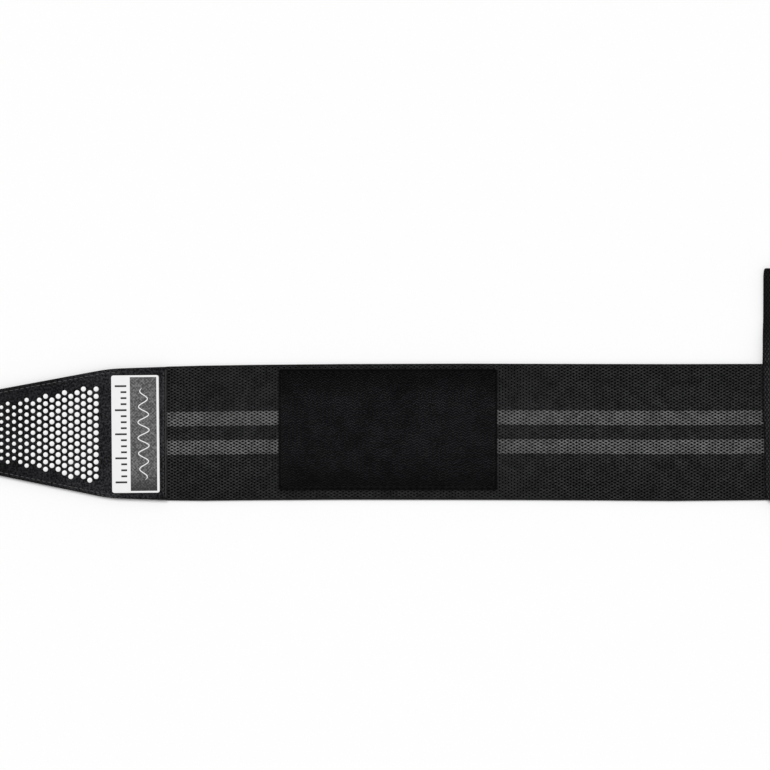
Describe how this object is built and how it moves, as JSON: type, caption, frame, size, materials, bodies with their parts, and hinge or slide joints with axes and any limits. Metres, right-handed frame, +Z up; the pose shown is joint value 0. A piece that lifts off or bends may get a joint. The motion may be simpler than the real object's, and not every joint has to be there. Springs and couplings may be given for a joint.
{
  "type": "wrist wrap",
  "caption": "Flat elastic wrist wrap with a tapered pull tab, hook tape under the tab, a loop pile patch and a padded cross panel at the other end.",
  "frame": {"origin": "on the surface that the wrap lies on, under the middle of its bounding box", "axes": "+X runs along the webbing from the tip of the pull tab to the cross panel, +Y across the webbing towards the cross panel's free end, +Z up out of the outer face"},
  "size_m": [0.5296, 0.128, 0.0051],
  "materials": {
    "webbing": "matte",
    "hook_tape": "satin",
    "tab_cloth": "matte",
    "label_rubber": "matte",
    "loop_pile": "matte",
    "panel_cloth": "matte"
  },
  "bodies": {
    "root": {"elastic_band": "webbing", "hook_patch": "hook_tape", "end_tab": "tab_cloth", "tab_label": "label_rubber", "loop_patch": "loop_pile", "cross_panel": "panel_cloth"}
  },
  "joints": []
}
